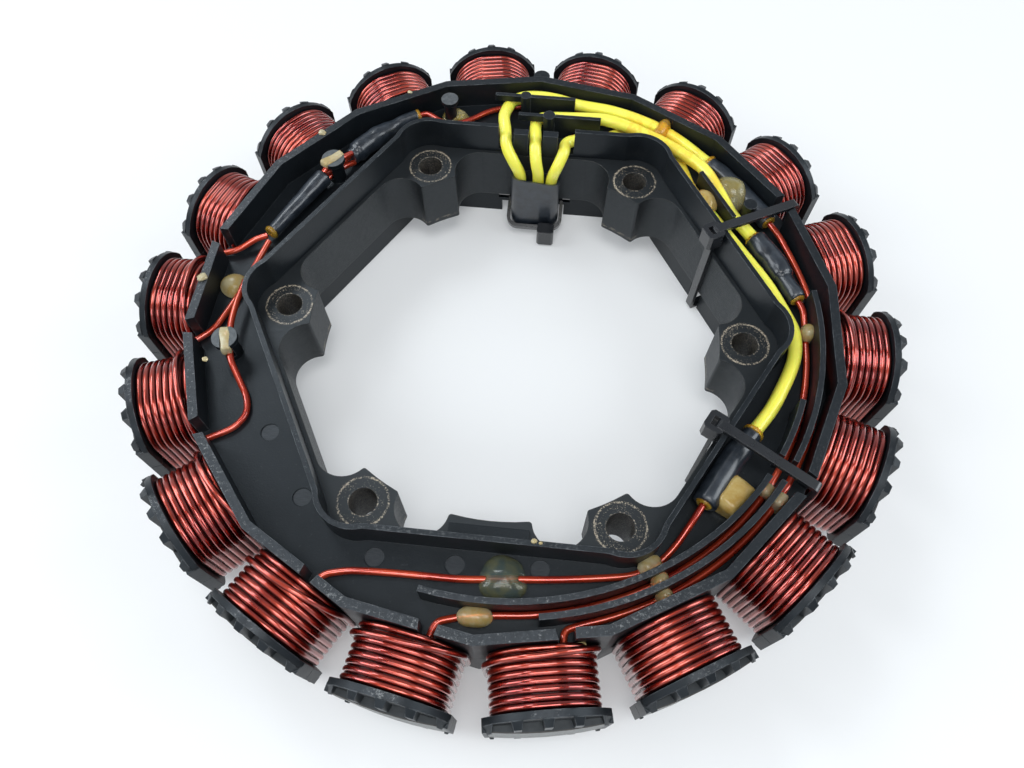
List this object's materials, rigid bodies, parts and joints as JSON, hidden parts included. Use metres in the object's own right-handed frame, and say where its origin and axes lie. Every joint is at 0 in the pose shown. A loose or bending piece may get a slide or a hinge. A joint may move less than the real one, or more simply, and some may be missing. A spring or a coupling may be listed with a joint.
{
  "type": "wound stator",
  "caption": "Wound ring stator with outward poles, inner mounting lugs, a moulded wire trough on top, and yellow leads that join splices and run to an inner harness sleeve.",
  "frame": {"origin": "on the motor axis, in the plane that the lower insulator rests on", "axes": "+Z along the motor axis towards the wire trough, +X through a mounting hole and a pole, +Y towards the harness outlet"},
  "size_m": [0.204, 0.2046, 0.0385],
  "materials": {
    "core_steel": "black coated laminations, pole faces and hole walls bare",
    "insulator_plastic": "dark grey glass-filled plastic, worn paler along edges",
    "enamelled_wire": "copper wire under glossy red-brown enamel",
    "lead_yellow": "yellow silicone lead insulation",
    "splice_black": "satin black shrink tube",
    "tie_black": "black nylon",
    "adhesive_amber": "translucent amber adhesive"
  },
  "bodies": {
    "root": {"lamination_stack": "core_steel", "upper_insulator": "insulator_plastic", "lower_insulator": "insulator_plastic", "coil_01": "enamelled_wire", "coil_02": "enamelled_wire", "coil_03": "enamelled_wire", "coil_04": "enamelled_wire", "coil_05": "enamelled_wire", "coil_06": "enamelled_wire", "coil_07": "enamelled_wire", "coil_08": "enamelled_wire", "coil_09": "enamelled_wire", "coil_10": "enamelled_wire", "coil_11": "enamelled_wire", "coil_12": "enamelled_wire", "coil_13": "enamelled_wire", "coil_14": "enamelled_wire", "coil_15": "enamelled_wire", "coil_16": "enamelled_wire", "coil_17": "enamelled_wire", "coil_18": "enamelled_wire", "link_wire_1": "enamelled_wire", "link_wire_2": "enamelled_wire", "link_wire_3": "enamelled_wire", "star_wire_1": "enamelled_wire", "star_wire_2": "enamelled_wire", "star_wire_3": "enamelled_wire", "star_wire_4": "enamelled_wire", "star_bundle_1": "enamelled_wire", "star_bundle_2": "enamelled_wire", "star_bundle_3": "enamelled_wire", "phase_lead_a": "lead_yellow", "phase_lead_b": "lead_yellow", "phase_lead_c": "lead_yellow", "harness_sleeve": "splice_black", "ring_tie_upper": "tie_black", "ring_tie_lower": "tie_black", "harness_tie": "tie_black", "splice_1": "splice_black", "splice_2": "splice_black", "splice_3": "splice_black", "splice_4": "splice_black", "splice_5": "splice_black", "adhesive_by_boss": "adhesive_amber", "adhesive_front": "adhesive_amber", "adhesive_left": "adhesive_amber", "adhesive_plate": "adhesive_amber", "adhesive_post": "adhesive_amber", "adhesive_ribs_1": "adhesive_amber", "adhesive_ribs_2": "adhesive_amber", "adhesive_right": "adhesive_amber", "adhesive_slot_1": "adhesive_amber", "adhesive_slot_2": "adhesive_amber", "adhesive_splice_3": "adhesive_amber", "adhesive_splice_5": "adhesive_amber", "adhesive_strap": "adhesive_amber", "adhesive_wall_1": "adhesive_amber", "adhesive_wall_2": "adhesive_amber", "adhesive_wire_start": "adhesive_amber"}
  },
  "joints": []
}
